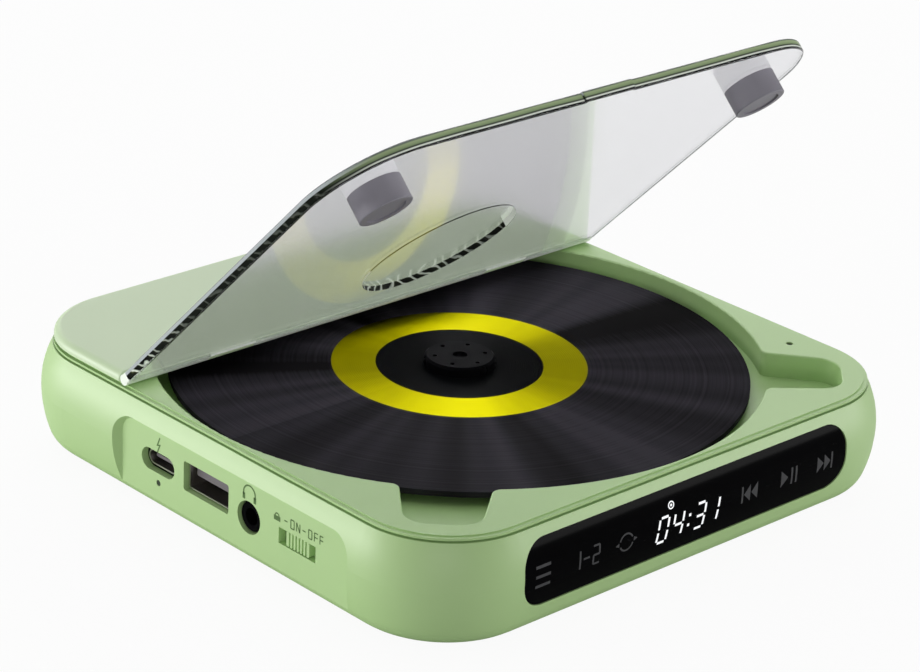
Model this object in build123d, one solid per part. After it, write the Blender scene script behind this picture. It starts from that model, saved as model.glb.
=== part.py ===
from build123d import *
import os
from math import acos, atan2, ceil, cos, degrees, pi, radians, sin, sqrt, tan

# Compact disc player for a shelf or a wall. X runs along the front, with the ports on -X.
# The touch window is on -Y and the lid's hinge along +Y. Z is up, and the origin is on the
# disc's axis, on the surface that the feet stand on. The lid is modelled shut and then
# turned to its resting angle. Millimetres.

# ---- driving dimensions ----

# the disc that it plays
disc_r, disc_hole_r, disc_t = 60.0, 7.5, 1.2
disc_z = 20.4                     # underside of the disc

# case, drawn round the disc with a gap and the deck's rim beside the well
well_gap, deck_rim = 3.3, 1.9
corner_r = 19.5
belly, belly_z = 2.4, 13.4        # how far the wall bulges, and at what height
lower_arc_r, edge_r = 28.0, 5.0
wall, floor_t, rim_t = 1.8, 1.8, 0.9
rim_z = 22.85                     # top of the tub
foot_h, foot_r, foot_sink, foot_in, foot_edge_r = 1.0, 5.0, 0.5, 13.2, 0.4
slip = 0.1                        # between pieces that drop into each other

# top frame
deck_z, deck_t = 23.95, 1.7
band_inset, band_bottom, band_top = 0.25, 23.25, 23.7
plateau_inset = 0.9
well_wall, well_edge_r = 0.8, 0.35
well_floor_t, under_disc = 1.5, 1.8
centre_hole_r, slot_half, slot_rim = 16.0, 8.2, 0.7
notch_gap, notch_side_gap, notch_mouth_gap, notch_lap = 1.44, 1.6, 3.95, 6.0
notch_corner_r, notch_shoulder_r = 5.0, 2.0
sensor_in_x, sensor_in_y, sensor_hole_r = 6.5, 26.8, 0.8
sensor_w, sensor_l, sensor_h = 4.0, 3.0, 2.6
peg_r, peg_in = 1.5, 12.7

# lid, hinge and rear cover
lid_t, lid_gap, lid_inset, lid_corner_less = 2.3, 0.15, 0.3, 1.5
lid_edge_r = 0.45
hinge_in = 36.8                   # from the case's back to the hinge's axis
lid_open = 45.2                   # the angle that the lid rests at
lug_in, lug_out, lug_gap = 32.5, 44.0, 0.2
pin_r, pin_l, pin_gap = 0.75, 19.5, 0.04
cover_gap, cover_t, cover_edge_r = 0.25, 1.95, 1.6
cover_rib = 1.2
hub_pocket_r, hub_pocket_d = 17.6, 1.15
finger_w, finger_out = 13.4, 0.5
post_r, post_gap, post_in = 5.5, 0.2, 14.6
magnet_r, magnet_t, post_dish, post_floor = 4.0, 2.5, 0.35, 0.6
latch_t = 1.2

# front window
window_end_left, window_end_right = 0.5, 1.2     # short of the rounded corners
window_h, window_r = 13.7, 5.5
window_z, window_t, window_sunk, window_gap = 13.95, 1.2, 0.2, 0.15
window_ledge = 2.0
pcb_t = 1.6
left_keys, right_keys = (4.8, 16.2, 26.7), (28.4, 17.15, 6.2)    # from the window's ends
key_r, digits_gap, lamp_room = 2.4, 2.9, 0.15

# port side
facet_out = 0.7                   # the flat stands this far outside the rim's line
facet_y0, facet_y1, facet_top, facet_r, facet_slope = -42.0, 27.5, 18.8, 4.0, 35.0
board_z = 8.4                     # top of the main board
board_in, board_gap, board_boss_gap, board_off = 1.8, 3.2, 2.8, 2.8
pillar_r, pillar_peg_r, pillar_in, peg_up = 2.2, 1.1, 4.0, 0.6
usb_c_y, usb_c_z, usb_c_w, usb_c_h, usb_c_l = 15.9, 12.05, 8.94, 3.26, 7.3
usb_c_hole_w, usb_c_hole_h = 10.5, 4.6
usb_a_y, usb_a_z, usb_a_w, usb_a_h, usb_a_l = 0.7, 12.6, 13.1, 5.72, 13.0
usb_a_hole_w, usb_a_hole_h, usb_wall = 14.0, 6.3, 0.3
jack_y, jack_z, jack_r, jack_hole_r, jack_bore_r, jack_l = -12.5, 11.3, 3.0, 3.45, 1.78, 12.0
switch_y, switch_z, switch_slot_l, switch_slot_h = -26.9, 11.3, 10.8, 3.4
knob_l, knob_gap, knob_travel, knob_ribs = 6.7, 0.15, 1.9, 6
led_y, led_z, led_r = 15.7, 7.7, 0.6

# underneath and at the back
keyhole_x, keyhole_in, keyhole_r, keyhole_slot, keyhole_l = 30.0, 27.2, 4.0, 4.2, 6.5
keyhole_depth, pocket_wall, pocket_gap = 3.4, 1.2, 1.0
screw_in, screw_r, screw_head_r, screw_head_t, boss_r = 20.2, 1.25, 2.4, 1.6, 3.2
screw_sink, boss_joint_z = 0.8, 9.0
speaker_end, speaker_z, speaker_l, speaker_h, speaker_d = 0.2, 10.8, 32.0, 12.4, 7.0
flange_t, bell_d, dish_d, speaker_magnet_r, bell_in, dish_in = 1.6, 4.4, 3.2, 4.6, 1.5, 2.2
cone_in, cone_z0, cone_z1, cone_fall, cone_dish, dome_r, dome_h = 0.1, 1.0, 2.6, 1.9, 0.9, 1.8, 1.5
slot_n, slot_w, slot_h, slot_pitch = 9, 1.4, 8.0, 2.8
cell_l, cell_t, cell_r, cell_gap_front, cell_gap_back = 44.0, 7.6, 3.0, 2.7, 3.2

# disc mechanism
plate_z, plate_t = 3.8, 1.4
damper_r, damper_bore_r, damper_groove_r = 4.4, 2.25, 3.2
damper_wall, damper_side, damper_ys, outer_dampers = 1.4, 18.0, (-16.5, 18.5), ((6.0, -25.5), (7.0, 19.0))
damper_screw_r, damper_head_up, damper_head_t = 0.9, 0.8, 1.0
spindle_motor_r, spindle_motor_h, shaft_r, shaft_gap = 12.0, 8.0, 1.0, 0.04
motor_cap_t, motor_cap_in, collar, collar_h, plate_rim = 1.2, 2.2, 1.2, 1.8, 0.3
table_r, table_t, hub_r, hub_h, neck_r = 13.5, 1.6, 7.4, 2.0, 4.5
pad_t, pad_hub_gap, pad_rim = 0.5, 1.2, 0.3
hub_chamfer, hub_dimple_r, hub_dimple_d, hub_hole_r, hub_hole_at, hub_hole_d = 0.5, 1.5, 0.6, 0.5, 5.3, 0.8
claw_r, claw_at, claw_up, claw_gap, claw_travel, claw_l = 1.0, 6.68, 0.7, 0.05, 0.35, 2.6
disc_edge = 2.0                   # the lens stops this far inside the disc's edge
rod_r, rod_y, rod_z, rod_gap = 1.25, 13.5, 9.0, 0.05
rail_gap, rail_post_t, rail_lip, rail_post_in, rail_post_out, rail_cap, rod_in = 1.0, 2.0, 1.2, 2.2, 2.6, 0.9, 0.6
sled_gap, sled_in, sled_out, sled_low_gap, sled_top = 1.1, 8.6, 4.5, 1.0, 12.2
sled_room, sled_wall, sled_side, sled_floor = 5.5, 1.6, 2.4, 1.4
barrel_wall, boss_out, boss_half, fork_l, fork_wall, fork_half = 1.3, 2.8, 1.6, 3.4, 0.4, 2.6
shelf_lap, shelf_t, cheek_half, cheek_y, cheek_t, cheek_h = 0.6, 0.7, 4.0, 7.2, 0.8, 4.0
holder_half_x, holder_half_y, holder_gap, lens_r, lens_ball_r, lens_rim = 3.9, 6.4, 0.8, 2.2, 6.0, 0.5
holder_corner_r, lens_t, lens_gap = 1.2, 1.8, 0.2
module, rack_teeth_y, rack_t, rack_back_t, rack_end = 0.5, -18.0, 1.6, 2.2, 3.5
small_teeth, wheel_teeth, pinion_teeth = 14, 48, 12
gear_in, motor_side = 31.5, -30.0
gear_post_r, gear_boss_r, gear_boss_top, wheel_t, gear_gap = 0.75, 2.4, 11.8, 1.2, 0.5
feed_motor_r, feed_motor_h, feed_nose_r, feed_shaft_r = 6.5, 8.2, 2.0, 0.5
limit_l, limit_w, limit_h, limit_gap = 4.6, 3.0, 5.5, 0.4
backlash, addendum, dedendum, pressure = 0.05, 0.8, 1.05, 20.0

# ---- levels and lines that follow from them ----

bottom_z = foot_h
floor_z = bottom_z + floor_t
disc_top = disc_z + disc_t
well_floor_top = disc_z - under_disc
well_floor_z = well_floor_top - well_floor_t
lid_z = deck_z + lid_gap
lid_top = lid_z + lid_t
hinge_z = lid_z + lid_t / 2
well_r = disc_r + well_gap
half = well_r + deck_rim          # half of the square outline at the rim
inside = half - rim_t             # flat inner faces behind the ports, window and grille
straight = half - corner_r
lid_half, lid_corner_r = half - lid_inset, corner_r - lid_corner_less
foot_at, screw_at, post_at, peg_at = (half - d for d in (foot_in, screw_in, post_in, peg_in))
hinge_y, keyhole_y = half - hinge_in, half - keyhole_in
sensor_x, sensor_y = half - sensor_in_x, sensor_in_y - half
notch_end = post_at * sqrt(2) + post_r + notch_gap
window_x0, window_x1 = window_end_left - straight, straight - window_end_right
window_l, window_x = window_x1 - window_x0, (window_x0 + window_x1) / 2
key_xs = [window_x0 + d for d in left_keys] + [window_x1 - d for d in right_keys]
speaker_x = straight - speaker_l / 2 - speaker_end
lens_in = spindle_motor_r + slip + collar + sled_gap + sled_in
lens_out = disc_r - disc_edge     # the lens's reach, from the disc's axis
post_x = lens_out + boss_out + rail_gap
rail_end, tray_end = post_x + rail_post_t, post_x + rail_lip
ear = damper_r + damper_wall
tray_x0 = -damper_side - ear
damper_places = [(-damper_side, y) for y in damper_ys]
damper_places += [(tray_end - d, y) for d, y in outer_dampers]
gear_x = lens_out - gear_in
gear_y = rack_teeth_y - module * small_teeth / 2
gear_span = module * (wheel_teeth + pinion_teeth) / 2
motor_x = gear_x + gear_span * cos(radians(motor_side))
motor_y = gear_y + gear_span * sin(radians(motor_side))
board_bottom = board_z - pcb_t
plate_top = plate_z + plate_t
BASE = (Align.CENTER, Align.CENTER, Align.MIN)
parts = {}


def rod(r, z0, z1, x=0.0, y=0.0):
    return Pos(x, y, z0) * Cylinder(r, z1 - z0, align=BASE)


def block(x0, x1, y0, y1, z0, z1):
    size = (x1 - x0, y1 - y0, z1 - z0)
    return Pos((x0 + x1) / 2, (y0 + y1) / 2, (z0 + z1) / 2) * Box(*size)


def slab(sketch, z0, z1):
    return extrude(Pos(0, 0, z0) * sketch, z1 - z0)


def rounded(inset, z0, z1):
    """A plate that follows the case's outline, inset from the rim's line."""
    side = 2 * (half - inset)
    return slab(RectangleRounded(side, side, corner_r - inset), z0, z1)


def across(sketch, x0, x1):
    """A sketch whose X and Y become the case's Y and Z, run from x0 to x1."""
    return Pos(x0, 0, 0) * extrude(Plane.YZ * sketch, x1 - x0)


def four(piece):
    """The same piece at the four sides or corners."""
    return [Rot(0, 0, 90 * k) * piece for k in range(4)]


def bow(cx, cz, r, a0, a1):
    """The end points and the middle of an arc, from its centre and two angles in degrees."""
    ends = [a0, (a0 + a1) / 2, a1]
    return [(cx + r * cos(radians(a)), cz + r * sin(radians(a))) for a in ends]


def case_section(inset, rim_inset, top):
    """What lies inside the line of the wall, as offset from the rim against height: a flat
    bottom, a rounded edge, then a belly of two arcs that meet upright at its widest."""
    rise, run = rim_z - belly_z, belly - inset + rim_inset
    upper_r = (rise**2 + run**2) / (2 * run)
    edge_cz = bottom_z + edge_r
    drop = belly_z - edge_cz
    edge_cx = belly - lower_arc_r + sqrt((lower_arc_r - edge_r) ** 2 - drop**2)
    turn = -degrees(atan2(drop, edge_cx - belly + lower_arc_r))
    edge = bow(edge_cx, edge_cz, edge_r - inset, -90, turn)
    lower = bow(belly - lower_arc_r, belly_z, lower_arc_r - inset, turn, 0)
    upper = bow(belly - inset - upper_r, belly_z, upper_r, 0, degrees(atan2(rise, upper_r - run)))
    lower[0], upper[0] = edge[2], lower[2]
    upper[2] = (-rim_inset, rim_z)
    outline = [ThreePointArc(*edge), ThreePointArc(*lower), ThreePointArc(*upper)]
    path = [upper[2], (-rim_inset, top), (-corner_r, top), (-corner_r, edge[0][1]), edge[0]]
    corners = [p for i, p in enumerate(path) if i == 0 or p != path[i - 1]]
    return make_face(outline + [Polyline(*corners)])


def case_side(section):
    """The straight run of a section along the +X side."""
    return extrude(Pos(half, 0, 0) * (Plane.XZ * section), straight, both=True)


def case_solid(section):
    """A section run round the rounded square, with the middle filled."""
    quarter = revolve(Pos(corner_r, 0, 0) * (Plane.XZ * section), Axis.Z, 90)
    quarter = Pos(straight, straight, 0) * quarter
    low = section.bounding_box().min.Y
    high = section.bounding_box().max.Y
    middle = block(-straight, straight, -straight, straight, low, high)
    return middle + four(quarter) + four(case_side(section))


# ---- tub ----
# A moulding of even wall, let down to flats inside where the ports, the window and the
# speakers seat. The deck's rebate drops inside its thinned rim.

tub = case_solid(case_section(0, 0, rim_z))
tub -= case_solid(case_section(wall, rim_t, rim_z + 1))
seat = block(inside, half + belly, -straight, straight, floor_z, rim_z - rim_t)
seat &= case_side(case_section(wall / 2, rim_t / 2, rim_z))
for k in (0, 2, 3):
    tub += Rot(0, 0, 90 * (k - 1)) * seat

# the flat for the ports, with sloping ends that show as crescents on the belly
flat_x = -(half + facet_out)
facet_depth = belly + 1
facet = Pos((facet_y0 + facet_y1) / 2, (facet_top + bottom_z - 20) / 2)
facet *= RectangleRounded(facet_y1 - facet_y0, facet_top - bottom_z + 20, facet_r)
facet = Pos(flat_x, 0, 0) * extrude(Plane.YZ * facet, -facet_depth, taper=-facet_slope)
tub -= facet

through = (flat_x - belly, -inside + 1)
usb_c_hole = Pos(usb_c_y, usb_c_z) * RectangleRounded(usb_c_hole_w, usb_c_hole_h, usb_c_hole_h / 2.01)
usb_a_hole = Pos(usb_a_y, usb_a_z) * RectangleRounded(usb_a_hole_w, usb_a_hole_h, 0.6)
switch_hole = Pos(switch_y, switch_z) * Rectangle(switch_slot_l, switch_slot_h)
jack_hole = Pos(jack_y, jack_z) * Circle(jack_hole_r)
led_hole = Pos(led_y, led_z) * Circle(led_r + slip / 2)
for hole in (usb_c_hole, usb_a_hole, switch_hole, jack_hole, led_hole):
    tub -= across(hole, *through)

# the window's pocket follows the belly, with a ledge round the lamps and the touch springs
window_face = Pos(window_x, window_z) * RectangleRounded(window_l, window_h, window_r)
pocket_face = Pos(window_x, window_z)
pocket_face *= RectangleRounded(
    window_l + 2 * window_gap, window_h + 2 * window_gap, window_r + window_gap
)


def front_prism(sketch, y0, y1):
    """A sketch in X and Z, run along Y from y0 to y1."""
    return Pos(0, y0, 0) * extrude(Plane.XZ * sketch, y0 - y1)


def front_bow(inset):
    """The case's front, sunk evenly below its outer skin."""
    return Rot(0, 0, -90) * case_side(case_section(inset, inset, rim_z))


front_y = -(half + belly + 1)
pocket = front_prism(pocket_face, front_y, -inside + 3)
tub -= pocket - front_bow(window_sunk + window_t + slip / 2)
lamp_top = well_floor_z - slip
lamp_bottom = window_z - window_h / 2 + window_ledge
lamp_l = window_l - 2 * window_ledge
lamp_z, lamp_h = (lamp_top + lamp_bottom) / 2, lamp_top - lamp_bottom
lamp_face = Pos(window_x, lamp_z) * RectangleRounded(lamp_l, lamp_h, window_r - window_ledge)
tub -= front_prism(lamp_face, front_y, -inside + 1)

# speaker slots through the back
for side in (-1, 1):
    for k in range(slot_n):
        x = side * speaker_x + (k - (slot_n - 1) / 2) * slot_pitch
        slot = Pos(x, speaker_z) * SlotOverall(slot_h, slot_w, rotation=90)
        tub -= front_prism(slot, inside - 1, half + belly + 1)

# screw bosses, damper bosses, board pillars and the pockets behind the keyholes
screw_places = [(sx * screw_at, sy * screw_at) for sx in (-1, 1) for sy in (-1, 1)]
for x, y in screw_places:
    tub += rod(boss_r, floor_z - slip, boss_joint_z - slip, x, y)
    tub -= rod(screw_r + slip, bottom_z - 1, boss_joint_z, x, y)
    tub -= rod(screw_head_r + slip, bottom_z - 1, bottom_z + screw_head_t + screw_sink, x, y)
damper_top = plate_top + plate_t
for x, y in damper_places:
    tub += rod(damper_bore_r - slip / 2, floor_z - slip, damper_top - slip, x, y)
    tub -= rod(damper_screw_r + slip / 2, floor_z, damper_top, x, y)
pocket_r = keyhole_r + pocket_gap
board_x0, board_x1 = -inside + board_in, tray_x0 - board_gap
board_rear = keyhole_y - pocket_r - pocket_wall - board_off + pocket_gap
board_front = boss_r + board_boss_gap - screw_at
pillars = [
    (x, y)
    for x in (board_x0 + pillar_in, board_x1 - pillar_in)
    for y in (board_front + pillar_in, board_rear - pillar_in)
]
for x, y in pillars:
    tub += rod(pillar_r, floor_z - slip, board_bottom, x, y)
    tub += rod(pillar_peg_r, board_bottom - slip, board_z + peg_up, x, y)
pocket_top = bottom_z + floor_t + keyhole_depth
for side in (-1, 1):
    x = side * keyhole_x
    stadium = Pos(x, keyhole_y + keyhole_l / 2)
    outer = 2 * (pocket_r + pocket_wall)
    roof = stadium * SlotOverall(keyhole_l + outer, outer, rotation=90)
    room = stadium * SlotOverall(keyhole_l + 2 * pocket_r, 2 * pocket_r, rotation=90)
    tub += slab(roof, floor_z - slip, pocket_top + pocket_wall)
    tub -= slab(room, floor_z, pocket_top)
    tub -= rod(keyhole_r, bottom_z - 1, floor_z + 1, x, keyhole_y)
    neck = Pos(x, keyhole_y + keyhole_l / 2)
    neck *= SlotOverall(keyhole_l + keyhole_slot, keyhole_slot, rotation=90)
    tub -= slab(neck, bottom_z - 1, floor_z + 1)

# feet
foot_places = [(sx * foot_at, sy * foot_at) for sx in (-1, 1) for sy in (-1, 1)]
feet = []
for x, y in foot_places:
    tub -= rod(foot_r + slip, bottom_z - 1, bottom_z + foot_sink, x, y)
    foot = rod(foot_r, 0, bottom_z + foot_sink, x, y)
    low = foot.edges().filter_by(GeomType.CIRCLE).sort_by(Axis.Z)[0]
    feet.append(fillet(low, foot_edge_r))
parts["bottom_shell"] = tub
parts["rubber_feet"] = Compound(feet)

# ---- top frame ----
# The deck, the disc well and the two corner notches are one moulding. The well's wall runs
# close inside the case at four places, because the disc nearly fills the square.

def notch_outline(angle):
    mouth = (well_r - notch_lap, post_r + notch_mouth_gap)
    end = (notch_end, post_r + notch_side_gap)
    outline = Polyline(mouth, end, (end[0], -end[1]), (mouth[0], -mouth[1]), close=True)
    face = make_face(outline)
    face = fillet(face.vertices().sort_by(Axis.X)[-2:], notch_corner_r)
    return Rot(0, 0, angle) * face


opening = Circle(well_r) + notch_outline(-45) + notch_outline(-135)
mouths = [v for v in opening.vertices() if abs(sqrt(v.X**2 + v.Y**2) - well_r) < 0.01]
mouths = [v for v in mouths if v.Y < -well_r / 3]
opening = fillet(mouths, notch_shoulder_r)
bowl = offset(opening, amount=well_wall)

frame = rounded(rim_t + slip, deck_z - deck_t, band_top)
frame += rounded(band_inset, band_bottom, band_top)
frame += rounded(band_inset + plateau_inset, band_top, deck_z)
frame += slab(bowl, well_floor_z, band_top)
frame -= slab(opening, well_floor_top, deck_z + 1)
deck_wires = frame.faces().sort_by(Axis.Z)[-1].inner_wires()
frame = fillet(deck_wires[0].edges(), well_edge_r)
# the hole at the middle and the laser's slot out to the side
slot_end = well_r - slot_rim
frame -= rod(centre_hole_r, well_floor_z - 1, well_floor_top + 1)
frame -= block(0, slot_end, -slot_half, slot_half, well_floor_z - 1, well_floor_top + 1)
# posts that take the case screws
for x, y in screw_places:
    frame += rod(boss_r, boss_joint_z, well_floor_z + slip, x, y)
    frame -= rod(screw_r, boss_joint_z - 1, well_floor_z - 0.4, x, y)
frame -= rod(sensor_hole_r, deck_z - deck_t - 1, deck_z + 1, sensor_x, sensor_y)

# ---- rear cover, with the hinge's two lugs ----
cover_z0, cover_z1 = lid_top - cover_t, lid_top
cover_front = hinge_y + lid_t / 2 + cover_gap
cover = rounded(lid_inset, cover_z0, cover_z1)
cover &= block(-2 * half, 2 * half, cover_front, 2 * half, 0, 2 * lid_top)
top_edges = cover.edges().group_by(Axis.Z)[-1]
outer_edges = [e for e in top_edges if (e @ 0.5).Y > cover_front + 0.01]
cover = fillet(outer_edges, cover_edge_r)
front_edge = cover.edges().group_by(Axis.Z)[-1].sort_by(Axis.Y)[0]
cover = fillet(front_edge, lid_edge_r)
# a rib under its edge stands on the deck, outside the well
rib_inset = band_inset + plateau_inset + 0.3
rib = rounded(rib_inset, deck_z, cover_z0 + slip)
rib -= rounded(rib_inset + cover_rib, deck_z - 1, cover_z1)
rib &= block(-2 * half, 2 * half, cover_front + 1, 2 * half, 0, 2 * lid_top)
cover += rib - rod(well_r + 1, deck_z - 1, lid_top)
for side in (-1, 1):
    cover += rod(peg_r, deck_z - deck_t, cover_z0 + slip, side * peg_at, peg_at)
    frame -= rod(peg_r + slip / 2, deck_z - deck_t - 1, deck_z + 1, side * peg_at, peg_at)
    lug_mid = side * (lug_in + lug_out) / 2
    barrel = Pos(lug_mid, hinge_y, hinge_z) * Rot(0, 90, 0)
    barrel *= Cylinder(lid_t / 2, lug_out - lug_in)
    x0, x1 = lug_mid - (lug_out - lug_in) / 2, lug_mid + (lug_out - lug_in) / 2
    arm_low = hinge_z - lid_t / 2 + cover_t * 0.2
    cover += barrel + block(x0, x1, hinge_y, cover_front + 1, arm_low, cover_z1)
    bore = Pos(lug_mid, hinge_y, hinge_z) * Rot(0, 90, 0) * Cylinder(pin_r, 2 * pin_l)
    cover -= bore & block(x0 - 1, x1 + 1, 0, half, 0, 2 * lid_top)
parts["top_frame"] = frame
parts["rear_cover"] = cover

# ---- lid ----
# Clear sheet with a full round along the hinge, a finger lip in front and a shallow round
# pocket over the hub. The posts under its free corners drop into the notches on magnets.
outline = Pos(0, (hinge_y - lid_half) / 2) * Rectangle(2 * lid_half, hinge_y + lid_half)
outline = fillet(outline.vertices().group_by(Axis.Y)[0], lid_corner_r)
lip = Pos(0, -lid_half) * RectangleRounded(finger_w, 2 * finger_out, finger_out * 0.9)
lid = slab(outline + lip, lid_z, lid_top)
flat_edges = [e for e in lid.edges() if abs((e @ 0).Z - (e @ 1).Z) < 1e-6]
lid = fillet([e for e in flat_edges if (e @ 0.5).Y < hinge_y - 0.01], lid_edge_r)
round_edge = Pos(0, hinge_y, hinge_z) * Rot(0, 90, 0) * Cylinder(lid_t / 2, 2 * lid_half)
lid += round_edge
lug_room = lid_t / 2 + pin_gap + 0.3
for side in (-1, 1):
    x0, x1 = sorted((side * (lug_in - lug_gap), side * (lug_out + lug_gap)))
    lid -= block(x0, x1, hinge_y - lug_room, hinge_y + lid_t, lid_z - 1, lid_top + 1)
    bore = Pos(side * (lug_in + lug_out) / 2, hinge_y, hinge_z) * Rot(0, 90, 0)
    lid -= bore * Cylinder(pin_r + pin_gap, pin_l + 2 * lug_gap)
lid -= rod(hub_pocket_r, lid_z - 1, lid_z + hub_pocket_d)

pins, posts, magnets, latches = [], [], [], []
post_low = well_floor_top + post_gap
for side in (-1, 1):
    pin = Rot(0, 90, 0) * Cylinder(pin_r, pin_l)
    pins.append(Pos(side * (lug_in + lug_out) / 2, hinge_y, hinge_z) * pin)
    x, y = side * post_at, -post_at
    post = rod(post_r, post_low, lid_z, x, y)
    low = post.edges().filter_by(GeomType.CIRCLE).group_by(Axis.Z)[0]
    post = fillet(low, 0.3)
    post -= rod(magnet_r + slip / 2, post_low - 1, post_low + post_dish, x, y)
    magnet_low = post_low + post_dish + post_floor
    post -= rod(magnet_r + slip / 2, magnet_low, lid_z, x, y)
    posts.append(post)
    magnets.append(rod(magnet_r, magnet_low, magnet_low + magnet_t, x, y))
    latches.append(rod(magnet_r, well_floor_z - latch_t, well_floor_z, x, y))
lid_swing = Pos(0, hinge_y, hinge_z) * Rot(-lid_open, 0, 0) * Pos(0, -hinge_y, -hinge_z)
parts["lid"] = lid_swing * lid
parts["lid_posts"] = lid_swing * Compound(posts)
parts["lid_magnets"] = lid_swing * Compound(magnets)
parts["latch_plates"] = Compound(latches)
parts["hinge_pins"] = Compound(pins)

# ---- window and the electronics behind it ----
shell = front_bow(window_sunk) - front_bow(window_sunk + window_t)
parts["display_window"] = front_prism(window_face, front_y, -inside + 3) & shell
board_y0 = -inside + slip
board_y1 = board_y0 + pcb_t
touch_board = front_prism(
    Pos(window_x, lamp_z) * Rectangle(lamp_l + 4, lamp_h + 0.8 - 2 * slip), board_y0, board_y1
)
parts["display_board"] = touch_board & block(-half, half, -half, 0, 0, lamp_top)
lamp_front = -(half + belly - window_sunk - window_t) + 0.5
parts["display_module"] = block(
    key_xs[2] + key_r + digits_gap, key_xs[3] - key_r - digits_gap, lamp_front, board_y0,
    lamp_bottom + lamp_room, lamp_top - lamp_room,
)
springs = []
for x in key_xs:
    place = Pos(x, (lamp_front + board_y0) / 2, lamp_z) * Rot(90, 0, 0)
    springs.append(place * Cylinder(key_r, board_y0 - lamp_front))
parts["touch_springs"] = Compound(springs)

# ---- main board and the ports that stand on it ----
board = block(board_x0, board_x1, board_front, board_rear, board_bottom, board_z)
for x, y in pillars:
    board -= rod(pillar_peg_r + slip, board_bottom - 1, board_z + 1, x, y)
parts["main_board"] = board

usb_c_x = -inside - 0.3
shape = Pos(usb_c_y, usb_c_z) * RectangleRounded(usb_c_w, usb_c_h, usb_c_h / 2.01)
inner = Pos(usb_c_y, usb_c_z)
inner *= RectangleRounded(
    usb_c_w - 2 * usb_wall, usb_c_h - 2 * usb_wall, (usb_c_h - 2 * usb_wall) / 2.01
)
socket = across(shape, usb_c_x, usb_c_x + usb_c_l)
foot = block(
    board_x0 + 0.5, usb_c_x + usb_c_l, usb_c_y - usb_c_w / 2 + 1.6, usb_c_y + usb_c_w / 2 - 1.6,
    board_z, usb_c_z - usb_c_h / 2 + usb_wall,
)
socket += foot
parts["usb_c_socket"] = socket - across(inner, usb_c_x - 1, usb_c_x + usb_c_l - 0.8)
tongue_c = Pos(usb_c_y, usb_c_z) * Rectangle(6.7, 0.7)
parts["usb_c_tongue"] = across(tongue_c, usb_c_x + 1.0, usb_c_x + usb_c_l - 0.8)

usb_a_x = -inside - 0.5
shape = Pos(usb_a_y, usb_a_z) * RectangleRounded(usb_a_w, usb_a_h, 0.5)
inner = Pos(usb_a_y, usb_a_z) * Rectangle(usb_a_w - 2 * usb_wall, usb_a_h - 2 * usb_wall)
socket = across(shape, usb_a_x, usb_a_x + usb_a_l)
foot = block(
    board_x0 + 0.5, usb_a_x + usb_a_l, usb_a_y - usb_a_w / 2 + 1, usb_a_y + usb_a_w / 2 - 1,
    board_z, usb_a_z - usb_a_h / 2 + usb_wall,
)
socket += foot
parts["usb_a_socket"] = socket - across(inner, usb_a_x - 1, usb_a_x + usb_a_l - 2.0)
tongue_a = Pos(usb_a_y, usb_a_z + 0.75) * Rectangle(11.1, 1.84)
parts["usb_a_tongue"] = across(tongue_a, usb_a_x + 1.2, usb_a_x + usb_a_l - 2.0)

jack_x = -inside + slip
jack_body = Pos(jack_y, (board_z + jack_z + jack_r) / 2)
jack_body = across(jack_body * Rectangle(2 * jack_r, jack_z + jack_r - board_z), jack_x, jack_x + jack_l)
jack_body += across(Pos(jack_y, jack_z) * Circle(jack_r), flat_x + 0.7, jack_x + slip)
jack_bore = across(Pos(jack_y, jack_z) * Circle(jack_bore_r), flat_x - 1, jack_x + jack_l - 0.8)
parts["headphone_jack"] = jack_body - jack_bore

# the slide switch: its knob's flange hides the slot over the whole travel
flange_x0, flange_x1 = -inside + slip, -inside + 0.9
knob_h = switch_slot_h - 2 * knob_gap
knob = across(Pos(switch_y, switch_z) * RectangleRounded(knob_l, knob_h, 0.35), flat_x + 0.2, flange_x0 + slip)
flange_l = switch_slot_l + 2 * knob_travel
knob += across(Pos(switch_y, switch_z) * Rectangle(flange_l, switch_slot_h + 1.8), flange_x0, flange_x1)
knob += across(Pos(switch_y, switch_z) * Rectangle(1.6, 1.6), flange_x1 - slip, flange_x1 + 1.2)
rib_pitch = knob_l / (knob_ribs + 1)
for k in range(knob_ribs):
    y = switch_y + (k - (knob_ribs - 1) / 2) * rib_pitch
    groove = Pos(y, switch_z) * Rectangle(rib_pitch * 0.45, knob_h + 1)
    knob -= across(groove, flat_x - 1, flat_x + 0.5)
parts["power_switch_knob"] = knob
switch_body = block(
    flange_x1 + slip, flange_x1 + 4.0, switch_y - 5.4, switch_y + 5.4, board_z, switch_z + 2.0
)
room = 1.6 + 2 * (knob_travel + slip)
switch_body -= block(
    flange_x1 - 1, flange_x1 + 1.4, switch_y - room / 2, switch_y + room / 2,
    switch_z - 0.8 - slip, switch_z + 0.8 + slip,
)
parts["power_switch_body"] = switch_body
led = across(Pos(led_y, led_z) * Circle(led_r), flat_x + 0.1, board_x0 - slip)
parts["charge_led"] = led

# ---- lid sensor under the deck ----
sensor_z = deck_z - deck_t
sensor = Pos(sensor_x, sensor_y, sensor_z - sensor_h) * Box(sensor_w, sensor_l, sensor_h, align=BASE)
sensor += rod(sensor_hole_r - slip, sensor_z - slip, deck_z - 0.3, sensor_x, sensor_y)
parts["lid_sensor"] = sensor

# ---- battery and speakers ----
cell_y0 = damper_ys[1] + ear + cell_gap_front
cell_y1 = inside - slip - speaker_d - cell_gap_back
cell = block(-cell_l / 2, cell_l / 2, cell_y0, cell_y1, floor_z + slip, floor_z + slip + cell_t)
parts["battery_pack"] = fillet(cell.edges().filter_by(Axis.X), cell_r)

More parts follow.
